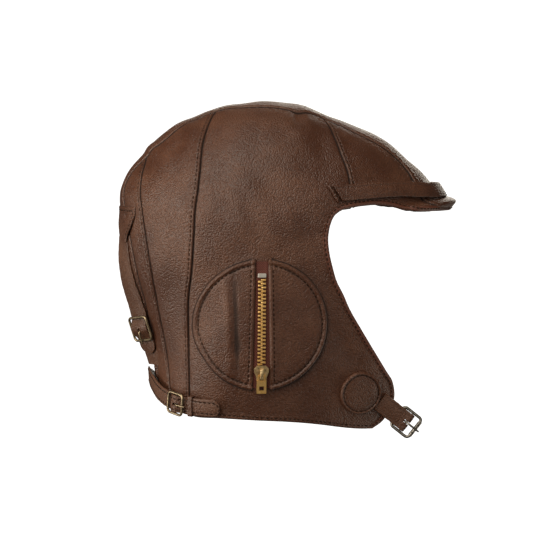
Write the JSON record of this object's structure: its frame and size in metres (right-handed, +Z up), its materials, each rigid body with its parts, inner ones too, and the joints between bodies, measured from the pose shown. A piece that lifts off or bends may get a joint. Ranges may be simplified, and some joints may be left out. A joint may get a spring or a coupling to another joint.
{
  "type": "flying helmet",
  "caption": "Leather flying helmet with a crown band, round zipped ear patches, a brow strap, buckled goggle and nape straps and a buckled chin strap.",
  "frame": {"origin": "inside top of the crown, where the helmet rests on a head", "axes": "+X to the front of the helmet, +Y to the wearer's left, +Z up"},
  "size_m": [0.2511, 0.1666, 0.2389],
  "materials": {
    "leather": "brown grained leather, worn satin",
    "edge_leather": "red-brown leather edging",
    "zip_cloth": "red-brown woven zip tape",
    "brass": "polished brass",
    "steel": "nickel-plated steel",
    "old_brass": "antique brass",
    "gunmetal": "dark gunmetal"
  },
  "bodies": {
    "helmet": {"face_binding": "edge_leather", "crown_band": "leather", "front_panel_right": "leather", "side_panel_right": "leather", "rear_panel_right": "leather", "back_panel_right": "leather", "ear_patch_front_right": "leather", "ear_patch_back_right": "leather", "zip_tape_right": "zip_cloth", "zip_teeth_right": "brass", "zip_stop_right": "steel", "zip_slider_right": "steel", "front_panel_left": "leather", "side_panel_left": "leather", "rear_panel_left": "leather", "back_panel_left": "leather", "ear_patch_front_left": "leather", "ear_patch_back_left": "leather", "zip_tape_left": "zip_cloth", "zip_teeth_left": "brass", "zip_stop_left": "steel", "zip_slider_left": "steel", "brow_strap": "leather", "brow_strap_end_right": "leather", "brow_strap_end_left": "leather", "goggle_yoke": "leather", "goggle_strap": "leather", "goggle_tab": "leather", "goggle_buckle": "old_brass", "goggle_prong": "old_brass", "nape_strap": "leather", "nape_tab": "leather", "nape_buckle": "old_brass", "nape_prong": "old_brass", "nape_keeper": "leather", "chin_patch_right": "leather", "chin_patch_left": "leather", "chin_strap_right": "leather", "chin_strap_left": "leather"},
    "pull_right": {"zip_pull_right": "brass"},
    "pull_left": {"zip_pull_left": "brass"},
    "buckle_frame": {"chin_buckle": "gunmetal"},
    "buckle_prong": {"chin_prong": "gunmetal"}
  },
  "joints": [
    {"name": "right_pull_swing", "type": "hinge", "parent": "helmet", "child": "pull_right", "pos_m": [-0.00913, -0.07841, -0.18866], "axis": [-1, 0, 0], "range_deg": [0, 120]},
    {"name": "left_pull_swing", "type": "hinge", "parent": "helmet", "child": "pull_left", "pos_m": [-0.00913, 0.07841, -0.18866], "axis": [1, 0, 0], "range_deg": [0, 120]},
    {"name": "chin_frame_turn", "type": "hinge", "parent": "helmet", "child": "buckle_frame", "pos_m": [0.09663, -0.05027, -0.2265], "axis": [-0.6268, -0.0213, -0.7789], "range_deg": [0, 15]},
    {"name": "chin_prong_lift", "type": "hinge", "parent": "buckle_frame", "child": "buckle_prong", "pos_m": [0.09663, -0.05027, -0.2265], "axis": [-0.6268, -0.0213, -0.7789], "range_deg": [0, 45]}
  ]
}
